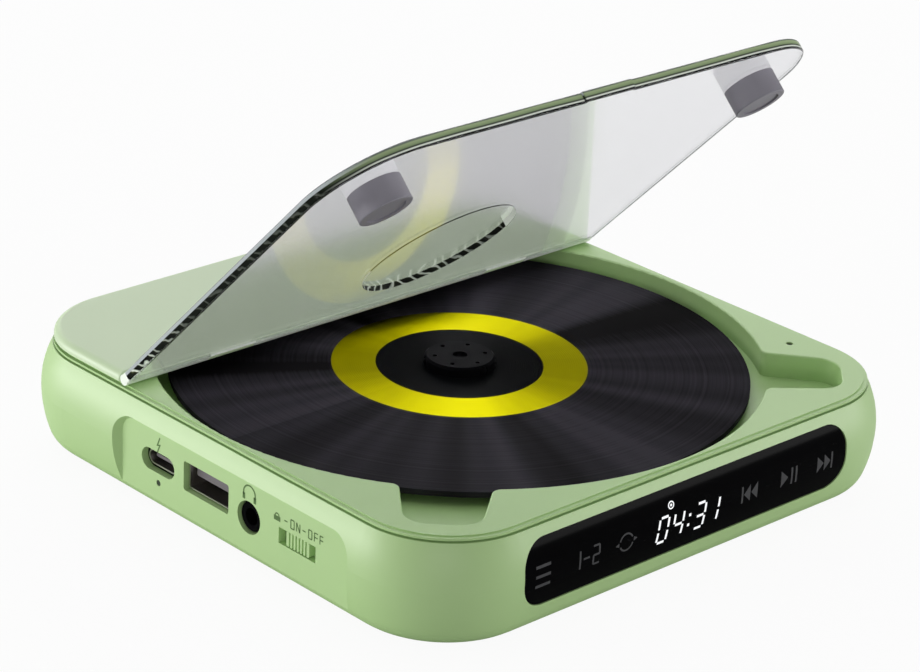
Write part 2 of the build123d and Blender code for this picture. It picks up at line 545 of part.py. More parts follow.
frames, cones = [], []
for side in (-1, 1):
    place = Pos(side * speaker_x, speaker_z)
    y1 = inside - slip
    body = front_prism(place * SlotOverall(speaker_l, speaker_h), y1, y1 - flange_t)
    bell = place * SlotOverall(speaker_l - 2 * bell_in, speaker_h - 2 * bell_in)
    body += front_prism(bell, y1 - flange_t + slip, y1 - bell_d)
    magnet = Pos(side * speaker_x, y1 - bell_d + slip, speaker_z) * Rot(90, 0, 0)
    body += magnet * Cylinder(speaker_magnet_r, speaker_d - bell_d + slip, align=BASE)
    dish = place * SlotOverall(speaker_l - 2 * dish_in, speaker_h - 2 * dish_in)
    body -= front_prism(dish, y1 + 1, y1 - dish_d)
    frames.append(body)
    rim = dish_in + cone_in
    cone = place * SlotOverall(speaker_l - 2 * rim, speaker_h - 2 * rim)
    cone = front_prism(cone, y1 - cone_z0, y1 - cone_z1)
    rim += cone_dish
    hollow = place * SlotOverall(speaker_l - 2 * rim, speaker_h - 2 * rim)
    cone -= front_prism(hollow, y1, y1 - cone_fall)
    dome = Pos(side * speaker_x, y1 - dish_d + slip, speaker_z) * Rot(-90, 0, 0)
    cone += dome * Cylinder(dome_r, dome_h, align=BASE)
    cones.append(cone)
parts["speaker_frames"] = Compound(frames)
parts["speaker_cones"] = Compound(cones)

# ---- mechanism chassis on rubber dampers ----
# A tray carries the spindle motor, both guide rods and the feed gears. It hangs on four
# dampers, clear of the case.
(near_x, front_y0), (_, back_y1), (far_x, wing_y), _ = damper_places
outline = Pos((tray_x0 + tray_end) / 2, (front_y0 + back_y1) / 2)
outline *= Rectangle(tray_end - tray_x0, back_y1 - front_y0 + 2 * ear)
outline += Pos(motor_x, motor_y) * Circle(feed_motor_r + slip + collar + plate_rim)
outline += make_face(
    Polyline(
        (gear_x - ear, front_y0), (gear_x - ear, wing_y - ear), (far_x + ear, wing_y - ear),
        (far_x + ear, front_y0), close=True,
    )
)
chassis = slab(outline, plate_z, plate_top)
for x, y in damper_places:
    chassis -= rod(damper_groove_r + slip / 2, plate_z - 1, plate_top + 1, x, y)
for r, x, y in ((spindle_motor_r, 0, 0), (feed_motor_r, motor_x, motor_y)):
    chassis += rod(r + slip + collar, plate_top - slip, plate_top + collar_h, x, y)
    chassis -= rod(r + slip, plate_top, plate_top + collar_h + 1, x, y)
rod_x0 = spindle_motor_r - rail_post_t - rod_in + slip * 2
for side in (-1, 1):
    for x0 in (rod_x0, post_x):
        y0, y1 = sorted((side * (rod_y - rail_post_in), side * (rod_y + rail_post_out)))
        post_top = rod_z + rod_r + rail_cap
        chassis += block(x0, x0 + rail_post_t, y0, y1, plate_top - slip, post_top)
    guide = Pos(rod_x0 + rod_in, side * rod_y, rod_z) * Rot(0, 90, 0)
    chassis -= guide * Cylinder(rod_r, rail_end - rod_x0 - 2 * rod_in, align=BASE)
chassis -= rod(spindle_motor_r + slip, plate_top, post_top + 1)
chassis += rod(gear_boss_r, plate_top - slip, gear_boss_top, gear_x, gear_y)
chassis -= rod(gear_post_r, plate_top, gear_boss_top + 1, gear_x, gear_y)
parts["mechanism_chassis"] = chassis

rods, dampers, mech_screws = [], [], []
for side in (-1, 1):
    guide = Pos(rod_x0 + rod_in, side * rod_y, rod_z) * Rot(0, 90, 0)
    rods.append(guide * Cylinder(rod_r, rail_end - rod_x0 - 2 * rod_in, align=BASE))
for x, y in damper_places:
    damper = rod(damper_r, floor_z + slip, damper_top - 0.4, x, y)
    damper -= rod(damper_r + 1, plate_z - slip / 2, plate_top + slip / 2, x, y) - rod(
        damper_groove_r, 0, 20, x, y
    )
    dampers.append(damper - rod(damper_bore_r, 0, 20, x, y))
    screw = rod(damper_screw_r, floor_z + damper_head_up, damper_top, x, y)
    head = rod(damper_bore_r + damper_head_up, damper_top - slip, damper_top + damper_head_t, x, y)
    mech_screws.append(screw + head)
parts["guide_rods"] = Compound(rods)
parts["damper_grommets"] = Compound(dampers)
parts["mechanism_screws"] = Compound(mech_screws)

# ---- spindle: motor, shaft, turntable and its sprung claws ----
motor_top = plate_top + spindle_motor_h
motor = rod(spindle_motor_r, plate_top, motor_top - motor_cap_t)
motor += rod(spindle_motor_r - motor_cap_in, motor_top - motor_cap_t - slip, motor_top)
motor = fillet(motor.edges().filter_by(GeomType.CIRCLE).group_by(Axis.Z)[-1], 0.6)
parts["spindle_motor"] = motor - rod(shaft_r + shaft_gap, plate_top + 0.6, motor_top + 1)
hub_top = disc_top + hub_h
shaft_top = disc_z + disc_t / 2
parts["spindle_shaft"] = rod(shaft_r, plate_top + 0.8, shaft_top)

table = rod(neck_r, motor_top + 0.6, disc_z - table_t + slip)
table += rod(table_r, disc_z - table_t, disc_z) + rod(hub_r, disc_z - slip, hub_top)
table = chamfer(table.edges().filter_by(GeomType.CIRCLE).group_by(Axis.Z)[-1], hub_chamfer)
pad_in = hub_r + pad_hub_gap
pad_out = table_r - pad_rim
pad_area = Circle(pad_out) - Circle(pad_in)
table -= slab(pad_area, disc_z - pad_t, disc_z + 1) & rod(table_r, 0, disc_z)
table -= rod(shaft_r, 0, shaft_top)
table -= rod(hub_dimple_r, hub_top - hub_dimple_d, hub_top + 1)
for k in range(6):
    table -= Rot(0, 0, 60 * k + 30) * rod(hub_hole_r, hub_top - hub_hole_d, hub_top + 1, hub_hole_at)
claw_z = disc_top + claw_up
claw_tail = claw_at - claw_l
for k in range(3):
    track = Pos(claw_tail - claw_travel - slip, 0, claw_z) * Rot(0, 90, 0)
    track *= Cylinder(claw_r + claw_gap, hub_r, align=BASE)
    table -= Rot(0, 0, 120 * k - 90) * track
parts["turntable"] = table
parts["turntable_pad"] = slab(pad_area, disc_z - pad_t, disc_z)
for k, name in enumerate(("disc_claw_a", "disc_claw_b", "disc_claw_c")):
    claw = Pos(claw_at, 0, claw_z) * Sphere(claw_r)
    stem = Pos(claw_tail, 0, claw_z) * Rot(0, 90, 0) * Cylinder(claw_r * 0.6, claw_l, align=BASE)
    parts[name] = Rot(0, 0, 120 * k - 90) * (claw + stem)
parts["disc"] = slab(Circle(disc_r) - Circle(disc_hole_r), disc_z, disc_top)

# ---- sled, rack and lens ----
# The lens rests at its inner end, over the start of the disc's tracks.
lens_x = lens_in
sled_low = plate_top + sled_low_gap
x0, x1 = lens_x - sled_in, lens_x + sled_out
core_y = rod_y - rod_r - sled_floor
sled = block(x0, x1, -core_y, core_y, sled_low, sled_top)
room_y = core_y - sled_side
sled -= block(
    lens_x - sled_room, x1 - sled_wall, -room_y, room_y, sled_low + sled_floor, sled_top - sled_wall
)
barrel = Rot(0, 90, 0) * Cylinder(rod_r + barrel_wall, sled_in + boss_out, align=BASE)
sled += Pos(x0, -rod_y, rod_z) * barrel
sled += block(x0, lens_x + boss_out, -rod_y, -core_y + slip, rod_z - boss_half, rod_z + boss_half)
fork_x1 = x0 + fork_l
fork_y1 = rod_y + rod_r + fork_wall
sled += block(x0, fork_x1, core_y - slip, fork_y1, rod_z - fork_half, rod_z + fork_half)
bore = Rot(0, 90, 0) * Cylinder(rod_r + rod_gap, 4 * sled_in)
sled -= Pos(lens_x, -rod_y, rod_z) * bore
fork_gap = rod_r + rod_gap
sled -= block(x0 - 1, fork_x1 + 1, rod_y - fork_gap, half, rod_z - fork_gap, rod_z + fork_gap)
# the shelf that the rack stands on, beside the barrel
rack_root = rack_teeth_y + module * dedendum
rack_back = rack_root + rack_back_t
sled += block(x0, x1, rack_back - shelf_lap, -core_y + slip, sled_top - shelf_t, sled_top)
cheek = block(
    lens_x - cheek_half, lens_x + cheek_half, cheek_y, cheek_y + cheek_t, sled_top - slip,
    sled_top + cheek_h,
)
sled += [cheek, mirror(cheek, Plane.XZ)]
parts["pickup_sled"] = sled

rack_x0, rack_x1 = lens_x - gear_in - rack_end, x1
pitch = pi * module
quarter_tooth = pitch / 4 - backlash / 2
add, ded = addendum * module, dedendum * module
lean = tan(radians(pressure))
first = ceil((rack_x0 + pitch - gear_x) / pitch - 0.5)
last = int((rack_x1 - pitch - gear_x) / pitch - 0.5)
profile = [(rack_x0, rack_back), (rack_x0, rack_root)]
for k in range(first, last + 1):
    x = gear_x + (k + 0.5) * pitch
    wide, narrow = quarter_tooth + ded * lean, quarter_tooth - add * lean
    tip = rack_teeth_y - add
    profile += [(x - wide, rack_root), (x - narrow, tip), (x + narrow, tip), (x + wide, rack_root)]
profile += [(rack_x1, rack_root), (rack_x1, rack_back)]
rack = make_face(Polyline(*profile, close=True))
parts["sled_rack"] = slab(rack, sled_top, sled_top + rack_t)

holder_low = sled_top + holder_gap
lens_top = well_floor_top - lens_gap
holder = block(
    lens_x - holder_half_x, lens_x + holder_half_x, -holder_half_y, holder_half_y, holder_low,
    lens_top - lens_rim,
)
holder = fillet(holder.edges().filter_by(Axis.Z), holder_corner_r)
holder -= rod(lens_r, holder_low - 1, lens_top, lens_x)
parts["lens_holder"] = holder
dome = Pos(lens_x, 0, lens_top - lens_ball_r) * Sphere(lens_ball_r)
glass = rod(lens_r, lens_top - lens_t, lens_top + 1, lens_x) & dome
parts["objective_lens"] = glass


# ---- feed gears ----
def gear(teeth, z0, z1, phase):
    """A spur gear of stub involute teeth, with one tooth centred on the angle phase."""
    r = module * teeth / 2
    base = r * cos(radians(pressure))
    tip, root = r + add, r - ded
    half_angle = pi / (2 * teeth) - backlash / (2 * r)

    def involute(radius):
        a = acos(min(1.0, base / radius))
        return tan(a) - a

    start = max(base, root)
    flank = [start + (tip - start) * f for f in (0.0, 0.45, 1.0)]
    lean_at = [half_angle + involute(r) - involute(q) for q in flank]
    if root < base:
        flank, lean_at = [root] + flank, [lean_at[0]] + lean_at
    points = []
    for k in range(teeth):
        middle = radians(phase) + 2 * pi * k / teeth
        sides = [(q, -a) for q, a in zip(flank, lean_at)]
        sides += [(q, a) for q, a in zip(reversed(flank), reversed(lean_at))]
        points += [(q * cos(middle + a), q * sin(middle + a)) for q, a in sides]
    return slab(make_face(Polyline(*points, close=True)), z0, z1)


small_z0, wheel_z0 = gear_boss_top + 2 * slip, sled_top + rack_t + gear_gap
wheel_z1 = wheel_z0 + wheel_t
feed = gear(small_teeth, small_z0, wheel_z0 + slip, 90)
feed += gear(wheel_teeth, wheel_z0, wheel_z1, motor_side)
feed -= rod(gear_post_r + shaft_gap, 0, half)
parts["feed_gear"] = Pos(gear_x, gear_y, 0) * feed
parts["feed_gear_post"] = rod(gear_post_r, plate_top, wheel_z1 + gear_gap, gear_x, gear_y)
pinion_z0, pinion_z1 = wheel_z0 - gear_gap / 2, wheel_z1 + gear_gap / 2
pinion = gear(pinion_teeth, pinion_z0, pinion_z1, motor_side + 180 + 180 / pinion_teeth)
pinion += rod(feed_shaft_r, plate_top + 1.0, pinion_z1)
parts["feed_pinion"] = Pos(motor_x, motor_y, 0) * pinion
feed_top = plate_top + feed_motor_h
feed_motor = rod(feed_motor_r, plate_top, feed_top - gear_gap, motor_x, motor_y)
feed_motor += rod(feed_nose_r, feed_top - gear_gap - slip, feed_top, motor_x, motor_y)
feed_bore = rod(feed_shaft_r + shaft_gap, plate_top + 0.8, feed_top + 1, motor_x, motor_y)
parts["feed_motor"] = feed_motor - feed_bore
stop_x = lens_in - sled_in - limit_gap
limit_y = rod_y + rail_post_out + slip
parts["inner_limit_switch"] = block(
    stop_x - limit_l, stop_x, limit_y, limit_y + limit_w, plate_top, plate_top + limit_h
)

# ---- case screws ----
screws = []
for x, y in screw_places:
    head_z = bottom_z + screw_sink
    screw = rod(screw_head_r, head_z, head_z + screw_head_t, x, y)
    screws.append(screw + rod(screw_r, head_z, well_floor_z - 1.2, x, y))
parts["case_screws"] = Compound(screws)

os.makedirs("parts", exist_ok=True)
for name, shape in parts.items():
    shape.label = name
    export_step(shape, f"parts/{name}.step")
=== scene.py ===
import math

import bpy
import numpy as np
from mathutils import Matrix, Vector


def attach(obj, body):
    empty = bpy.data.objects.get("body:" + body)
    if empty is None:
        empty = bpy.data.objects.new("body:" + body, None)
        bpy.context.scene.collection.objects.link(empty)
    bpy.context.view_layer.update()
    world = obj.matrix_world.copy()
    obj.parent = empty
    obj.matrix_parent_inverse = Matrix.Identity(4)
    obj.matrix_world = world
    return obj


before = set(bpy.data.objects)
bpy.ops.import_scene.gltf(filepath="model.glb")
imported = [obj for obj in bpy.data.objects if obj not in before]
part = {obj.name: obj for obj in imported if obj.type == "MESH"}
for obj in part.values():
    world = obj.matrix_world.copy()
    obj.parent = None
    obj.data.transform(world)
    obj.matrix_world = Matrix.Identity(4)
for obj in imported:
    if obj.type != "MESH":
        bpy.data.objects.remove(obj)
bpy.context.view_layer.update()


# The studio, in metres. The camera stands off the corner between the ports and the window, and
# looks down on the deck by some 23 degrees. The object stands on white card among soft boxes,
# two of them low, one past the ports and one past the window.
def tint(code):
    """An sRGB hex colour as linear RGBA: each channel, as a share, goes through the sRGB curve."""
    share = np.array([int(code[i : i + 2], 16) for i in (1, 3, 5)]) / 255
    linear = np.where(share <= 0.04045, share / 12.92, ((share + 0.055) / 1.055) ** 2.4)
    return (*map(float, linear), 1.0)


def put(tree, kind, feeds=(), **settings):
    """Adds one shader node with its settings, and gives back its outputs. A feed is a value,
    or another node's output to link."""
    node = tree.nodes.new("ShaderNode" + kind)
    for name, value in settings.items():
        setattr(node, name, value)
    for name, value in dict(feeds).items():
        if isinstance(value, bpy.types.NodeSocket):
            tree.links.new(value, node.inputs[name])
        else:
            node.inputs[name].default_value = value
    return node.outputs


def empty_material(name):
    """A new material with nothing in it yet, and its node tree."""
    made = bpy.data.materials.new(name)
    made.use_nodes = True
    made.node_tree.nodes.clear()
    return made, made.node_tree


def seen_plainly(tree):
    """One for camera rays and for rays that went through the lid, and nought for the rest."""
    ray = put(tree, "LightPath")
    either = {0: ray["Is Camera Ray"], 1: ray["Is Transmission Ray"]}
    return put(tree, "Math", either, operation="MAXIMUM")[0]


scene = bpy.context.scene
scene.view_settings.view_transform = "Standard"

azimuth, height, roll = map(math.radians, (-43.681, 23.411, 2.661))
camera_place, lens_mm, film_mm = (-0.41150, -0.43066, 0.28557), 123.53, 36.0
level = Vector((math.cos(azimuth), math.sin(azimuth), 0))
back = Vector((math.sin(azimuth) * math.cos(height), -math.cos(azimuth) * math.cos(height), 0))
back.z = math.sin(height)
upright = back.cross(level)
right = math.cos(roll) * level + math.sin(roll) * upright
up = math.cos(roll) * upright - math.sin(roll) * level
camera_data = bpy.data.cameras.new("studio_camera")
camera_data.lens, camera_data.sensor_width, camera_data.clip_start = lens_mm, film_mm, 0.01
camera = bpy.data.objects.new("studio_camera", camera_data)
camera.matrix_world = Matrix((right, up, back)).transposed().to_4x4()
camera.matrix_world.translation = camera_place
scene.collection.objects.link(camera)
scene.camera = camera

soft_light, white_light = 0.28, 1.0
room = bpy.data.worlds.new("white_room")
room.use_nodes = True
room.node_tree.nodes.clear()
soft, white = (
    put(room.node_tree, "Background", {"Color": tint("#ffffff"), "Strength": strength})[0]
    for strength in (soft_light, white_light)
)
feeds = {0: seen_plainly(room.node_tree), 1: soft, 2: white}
put(room.node_tree, "OutputWorld", {"Surface": put(room.node_tree, "MixShader", feeds)[0]})
scene.world = room

aim_height = 0.02
for name, place, width, depth, watts in (
    ("over_box", (0.05, 0.12, 0.70), 0.60, 0.60, 1.2),
    ("back_box", (0.64, 0.86, 0.52), 1.30, 0.60, 5.6),
    ("port_side_box", (-0.66, 0.56, 0.07), 0.60, 0.13, 5.0),
    ("window_side_box", (0.62, -0.60, 0.12), 0.50, 0.24, 2.8),
    ("corner_box", (-0.75, -0.80, 0.30), 0.50, 0.40, 1.6),
):
    lamp_data = bpy.data.lights.new(name, "AREA")
    lamp_data.shape, lamp_data.size, lamp_data.size_y = "RECTANGLE", width, depth
    lamp_data.energy = watts
    lamp = bpy.data.objects.new(name, lamp_data)
    lamp.location = place
    aim = Vector((0, 0, aim_height)) - Vector(place)
    lamp.rotation_euler = aim.to_track_quat("-Z", "Y").to_euler()
    scene.collection.objects.link(lamp)

card_half, card_glow = 2, 0.94
card_mesh = bpy.data.meshes.new("white_card")
corners = [(x * card_half, y * card_half, 0) for x, y in ((-1, -1), (1, -1), (1, 1), (-1, 1))]
card_mesh.from_pydata(corners, [], [(0, 1, 2, 3)])
card = bpy.data.objects.new("white_card", card_mesh)
scene.collection.objects.link(card)
card_paint, tree = empty_material("matt_card")
matt = put(tree, "BsdfDiffuse", {"Color": tint("#e8e8e8")})[0]
glow = put(tree, "Emission", {"Color": tint("#ffffff"), "Strength": 1.0})[0]
shaded = put(tree, "MixShader", {0: card_glow, 1: matt, 2: glow})[0]
mixed = put(tree, "MixShader", {0: seen_plainly(tree), 1: matt, 2: shaded})[0]
put(tree, "OutputMaterial", {"Surface": mixed})
card_mesh.materials.append(card_paint)


# The tub, the top frame, the rear cover and the switch's knob. ABS, moulded in pale green in
# a spark-eroded mould, so the skin is satin: wide soft highlights over a very fine grain.
drift_mm, darkest = 40, 0.94


def moulded(name, code, roughness, shine=0.5, grain_mm=0.45, rise_mm=0.012):
    """Plastic or rubber from an eroded mould, in one colour that drifts by a few percent."""
    made, tree = empty_material(name)
    at = put(tree, "TexCoord")["Object"]
    drift = put(tree, "TexNoise", {"Vector": at, "Scale": 1000 / drift_mm})[0]
    grain = put(tree, "TexNoise", {"Vector": at, "Scale": 1000 / grain_mm})[0]
    darker = (*(darkest * share for share in tint(code)[:3]), 1.0)
    shade = put(tree, "Mix", {0: drift, 6: tint(code), 7: darker}, data_type="RGBA")[2]
    relief = put(tree, "Bump", {"Height": grain, "Strength": 0.35, "Distance": rise_mm / 1000})[0]
    feeds = {"Base Color": shade, "Roughness": roughness, "Specular IOR Level": shine}
    skin = put(tree, "BsdfPrincipled", {**feeds, "Normal": relief})[0]
    put(tree, "OutputMaterial", {"Surface": skin})
    return made


def dress(material, *names):
    """Gives CAD pieces one material in every slot."""
    for name in names:
        for slot in part[name].material_slots:
            slot.material = material


# Painted sheen: the three greens are partly the plastic's own colour and partly painted sheen. All
# are paler than the plastic, the tub's a touch more and the rear cover's much more, for the white
# that their satin skin takes at a slant.
tub_green_paled_for_sheen = moulded("satin_tub_green", "#accd8b", 0.50, shine=0.9)
dress(tub_green_paled_for_sheen, "bottom_shell", "power_switch_knob")
deck_green_paled_for_sheen = moulded("satin_deck_green", "#a6c984", 0.50, shine=0.9)
dress(deck_green_paled_for_sheen, "top_frame")
cover_green_paled_for_sheen = moulded("satin_cover_green", "#c4d9b1", 0.50, shine=0.9)
dress(cover_green_paled_for_sheen, "rear_cover")


# The signs beside the ports, pad-printed in dark green on the flat face: a bolt over the
# charging port, a headset over the jack, and a padlock, ON and OFF over the slide switch. All
# signs are laid out in mm, and turns in degrees.
def stroke(points, width):
    """Quads along a line of points in a sign's plane. At each point the two edges stand half
    a width off the line, on the mitre of the stretches that meet there."""
    points = np.array(points, float)
    step = np.diff(points, axis=0)
    step /= np.linalg.norm(step, axis=1, keepdims=True)
    shut = np.allclose(points[0], points[-1])
    before = np.vstack([step[-1:] if shut else step[:1], step])
    after = np.vstack([step, step[:1] if shut else step[-1:]])
    quarter_turn = np.array([[0, 1], [-1, 0]])
    mitre, across = (before + after) @ quarter_turn, before @ quarter_turn
    mitre *= width / 2 / (mitre * across).sum(1, keepdims=True)
    left, right = points + mitre, points - mitre
    return np.stack([right[:-1], right[1:], left[1:], left[:-1]], axis=1)


def arc(u, v, radius, start, end, width):
    """A stroke along part of a circle, in steps of about ten degrees."""
    turn = np.radians(np.linspace(start, end, 2 + abs(end - start) // 10))
    return stroke(np.stack([u + radius * np.cos(turn), v + radius * np.sin(turn)], 1), width)


def bars(lit, u, v, width, height, thick, lean=0.0, short=0.0):
    """A figure or letter made of the bars a to g of a seven-bar display, and n, its diagonal.
    Its lower left corner is at (u, v), and its top leans to the right."""
    ends = {
        "a": ((0, 1), (1, 1)), "b": ((1, 1), (1, 0.5)), "c": ((1, 0.5), (1, 0)),
        "d": ((0, 0), (1, 0)), "e": ((0, 0), (0, 0.5)), "f": ((0, 0.5), (0, 1)),
        "g": ((0, 0.5), (1, 0.5)), "n": ((0, 1), (1, 0)),
    }
    lines = np.array([ends[bar] for bar in lit]) * (width, height)
    pull = lines[:, ::-1] - lines
    lines = lines + short * pull / np.linalg.norm(pull, axis=2, keepdims=True)
    lines[..., 0] += lean * lines[..., 1]
    return np.concatenate([stroke(line + (u, v), thick) for line in lines])


def printed(name, quads, place, material, body, cuts=4):
    """Ink on a surface. Each quad is filled with an even grid between its corners, the grid is
    placed on the surface, and points that meet are made one."""
    share = np.linspace(0, 1, cuts + 1)
    a, b = np.meshgrid(share, share, indexing="ij")
    weights = np.stack([(1 - a) * (1 - b), a * (1 - b), a * b, (1 - a) * b], -1)
    flat = np.einsum("abk,nkc->nabc", weights, np.concatenate(quads)).reshape(-1, 2)
    grid = np.arange(len(flat)).reshape(-1, cuts + 1, cuts + 1)
    ring = [grid[:, :-1, :-1], grid[:, 1:, :-1], grid[:, 1:, 1:], grid[:, :-1, 1:]]
    spots, index = np.unique(place(flat).round(7), axis=0, return_inverse=True)
    faces = index.ravel()[np.stack(ring, -1).reshape(-1, 4)]
    mesh = bpy.data.meshes.new(name)
    mesh.from_pydata(spots.tolist(), [], faces.tolist())
    mesh.materials.append(material)
    piece = bpy.data.objects.new(name, mesh)
    scene.collection.objects.link(piece)
    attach(piece, body)
    return piece


ink_lift = 0.03                                        # mm, so that ink never sinks in the skin
port_face = 65.9                                       # mm from the middle to the flat face


def on_port_face(flat):
    """The flat face looks out along -X, so a sign's right is -Y and its top is +Z."""
    side = np.full(len(flat), -(port_face + ink_lift))
    return np.stack([side, -flat[:, 0], flat[:, 1]], 1) / 1000


bolt_u, bolt_low, bolt_line = -16.1, 14.3, 0.32
bolt_shape = np.array([(0.8, 3.4), (0.0, 1.6), (0.8, 1.8), (0.0, 0.0)])
bolt = [stroke(bolt_shape + (bolt_u, bolt_low), bolt_line)]
headset_u, band_v, band_r, band_line = 12.6, 16.4, 1.75, 0.34
cup_reach, cup_w, cup_top, cup_foot = 1.65, 0.75, 0.2, 1.5
headset = [arc(headset_u, band_v, band_r, -20, 200, band_line)] + [
    stroke([(headset_u + side, band_v - cup_top), (headset_u + side, band_v - cup_foot)], cup_w)
    for side in (-cup_reach, cup_reach)
]
letter_w, letter_h, letters_z, line = 0.95, 1.8, 14.1, 0.26
lock_u, lock_half, lock_tall, bow_r = 20.95, 0.95, 1.0, 0.55
lock_v = letters_z + lock_tall / 2
padlock = [
    stroke([(lock_u - lock_half, lock_v), (lock_u + lock_half, lock_v)], lock_tall),
    arc(lock_u, letters_z + lock_tall, bow_r, 0, 180, line),
]
words = [
    bars(lit, u, letters_z, letter_w, letter_h, line)
    for lit, u in (
        ("g", 23.1), ("abcdef", 25.0), ("efnbc", 26.7), ("g", 28.4), ("abcdef", 30.2),
        ("aefg", 31.9), ("aefg", 33.5),
    )
]
green_ink = moulded("green_ink", "#55743f", 0.5, shine=0.3)
printed("port_signs", bolt + headset + padlock + words, on_port_face, green_ink, "case")


# The window. Black gloss acrylic bent to the belly of the case. Touch keys are usually printed
# behind such a window, and a clock's digits shine through it from the lamp block in the middle.
# Both are drawn here on its face, as grey ink and as light.
wave_mm, wave_rise_mm = 25, 0.02
gloss_black, tree = empty_material("gloss_black_acrylic")
at = put(tree, "TexCoord")["Object"]
wave = put(tree, "TexNoise", {"Vector": at, "Scale": 1000 / wave_mm})[0]
feeds = {"Height": wave, "Strength": 0.2, "Distance": wave_rise_mm / 1000}
relief = put(tree, "Bump", feeds)[0]
feeds = {"Base Color": tint("#050506"), "Roughness": 0.12, "Specular IOR Level": 0.015}
skin = put(tree, "BsdfPrincipled", {**feeds, "Normal": relief})[0]
put(tree, "OutputMaterial", {"Surface": skin})
dress(gloss_black, "display_window")

belly_out, belly_z, bend_below, bend_above = 67.4, 13.4, 27.8, 19.805
tip_half = 0.06                                        # the blunt tip of a pointer, halved


def on_window(flat):
    """The window looks out along -Y. It is widest at the belly's height, and curves back from
    there on one radius below and on a tighter one above."""
    x, z = flat.T
    bend = np.where(z < belly_z, bend_below, bend_above)
    out = belly_out - bend + np.sqrt(bend**2 - (z - belly_z) ** 2) + ink_lift
    return np.stack([x, -out, z], 1) / 1000


def pointer(u, v, width, tall):
    """A solid triangle that points along +u, or along -u where its width is negative."""
    quad = np.array([(0, -tall / 2), (width, -tip_half), (width, tip_half), (0, tall / 2)]) + (u, v)
    return (quad if width > 0 else quad[::-1])[None]


key_z, key_line, key_tall, key_bar, key_arrow = 13.4, 0.42, 3.6, 0.5, 1.8


def upright_bar(u):
    """A bar as tall as a key's arrows."""
    return stroke([(u, key_z - key_tall / 2), (u, key_z + key_tall / 2)], key_bar)


menu_left, menu_right, menu_line, menu_gap = -42.3, -38.5, 0.62, 2
menu_sign = [
    stroke([(menu_left, z), (menu_right, z)], menu_line)
    for z in (key_z - menu_gap, key_z, key_z + menu_gap)
]
figure_h, one_w, two_w = 3.8, 1.2, 1.6
figure_low = key_z - figure_h / 2
one_to_two_sign = [
    bars("bc", -32.0, figure_low, one_w, figure_h, key_line),
    stroke([(-29.9, key_z), (-28.3, key_z)], key_line),
    bars("abged", -27.3, figure_low, two_w, figure_h, key_line),
]
loop_u, loop_r, loop_line, tip, tip_off = -18.5, 1.75, 0.36, 0.9, 0.15
loop_sign = [
    arc(loop_u, key_z, loop_r, 25, 165, loop_line),
    arc(loop_u, key_z, loop_r, 205, 345, loop_line),
    pointer(-16.55, key_z + tip_off, tip, tip),
    pointer(-20.45, key_z - tip_off, -tip, tip),
]
previous_sign = [
    upright_bar(13.9), pointer(16.2, key_z, -key_arrow, key_tall),
    pointer(18.3, key_z, -key_arrow, key_tall),
]
play_sign = [pointer(25.2, key_z, 2.0, key_tall), upright_bar(28.4), upright_bar(29.7)]
next_sign = [
    pointer(36.0, key_z, key_arrow, key_tall), pointer(38.1, key_z, key_arrow, key_tall),
    upright_bar(40.4),
]
grey_ink = moulded("grey_ink", "#474749", 0.5, shine=0.1)
keys = menu_sign + one_to_two_sign + loop_sign + previous_sign + play_sign + next_sign
printed("key_signs", keys, on_window, grey_ink, "case")

patch_mm = 3
lamp_light, tree = empty_material("lit_digits")
at = put(tree, "TexCoord")["Object"]
patchy = put(tree, "TexNoise", {"Vector": at, "Scale": 1000 / patch_mm})[0]
shade = put(tree, "Mix", {0: patchy, 6: tint("#ffffff"), 7: tint("#eef2f6")}, data_type="RGBA")[2]
feeds = {"Base Color": tint("#202022"), "Emission Color": shade, "Emission Strength": 1.05}
put(tree, "OutputMaterial", {"Surface": put(tree, "BsdfPrincipled", feeds)[0]})
digit_w, digit_h, digit_line, digit_gap, digits_z = 2.5, 5.2, 0.52, 0.32, 10.2
lean = math.tan(math.radians(9))
clock = [
    bars(lit, u, digits_z, digit_w, digit_h, digit_line, lean, digit_gap)
    for lit, u in (("abcdef", -10.1), ("fgbc", -5.9), ("abgcd", 0.2), ("bc", 4.1))
]
colon_u, dot = -1.9, 0.6
colon = [
    stroke([(colon_u + lean * z, digits_z + z), (colon_u + dot + lean * z, digits_z + z)], dot)
    for z in (1.5, 3.6)
]
disc_u, disc_v = -6.3, 17.35
disc_sign = [
    arc(disc_u, disc_v, radius, 0, 360, width) for radius, width in ((0.7, 0.26), (0.16, 0.24))
]
lit_signs = printed("lit_signs", clock + colon + disc_sign, on_window, lamp_light, "case")


# Metal pieces: hinge pins, magnets, screws, rods, springs and the sockets' shells. Drawn or
# stamped steel with a nickel plate, which leaves fine lines and an even, dull shine.
line_mm, line_rise_mm = 0.2, 0.006
nickel, tree = empty_material("nickel_plate")
at = put(tree, "TexCoord")["Object"]
drawn = put(tree, "Mapping", {"Vector": at, "Scale": (0.05, 1.0, 1.0)})[0]
lines = put(tree, "TexNoise", {"Vector": drawn, "Scale": 1000 / line_mm, "Detail": 3.0})[0]
feeds = {"Height": lines, "Strength": 0.3, "Distance": line_rise_mm / 1000}
relief = put(tree, "Bump", feeds)[0]
feeds = {"Base Color": tint("#c9c6c0"), "Metallic": 1.0, "Roughness": 0.28, "Normal": relief}
put(tree, "OutputMaterial", {"Surface": put(tree, "BsdfPrincipled", feeds)[0]})
dress(
    nickel, "hinge_pins", "lid_magnets", "latch_plates", "case_screws", "mechanism_screws",
    "guide_rods", "spindle_shaft", "feed_gear_post", "usb_c_socket", "usb_a_socket",
    "spindle_motor", "feed_motor", "touch_springs",
)


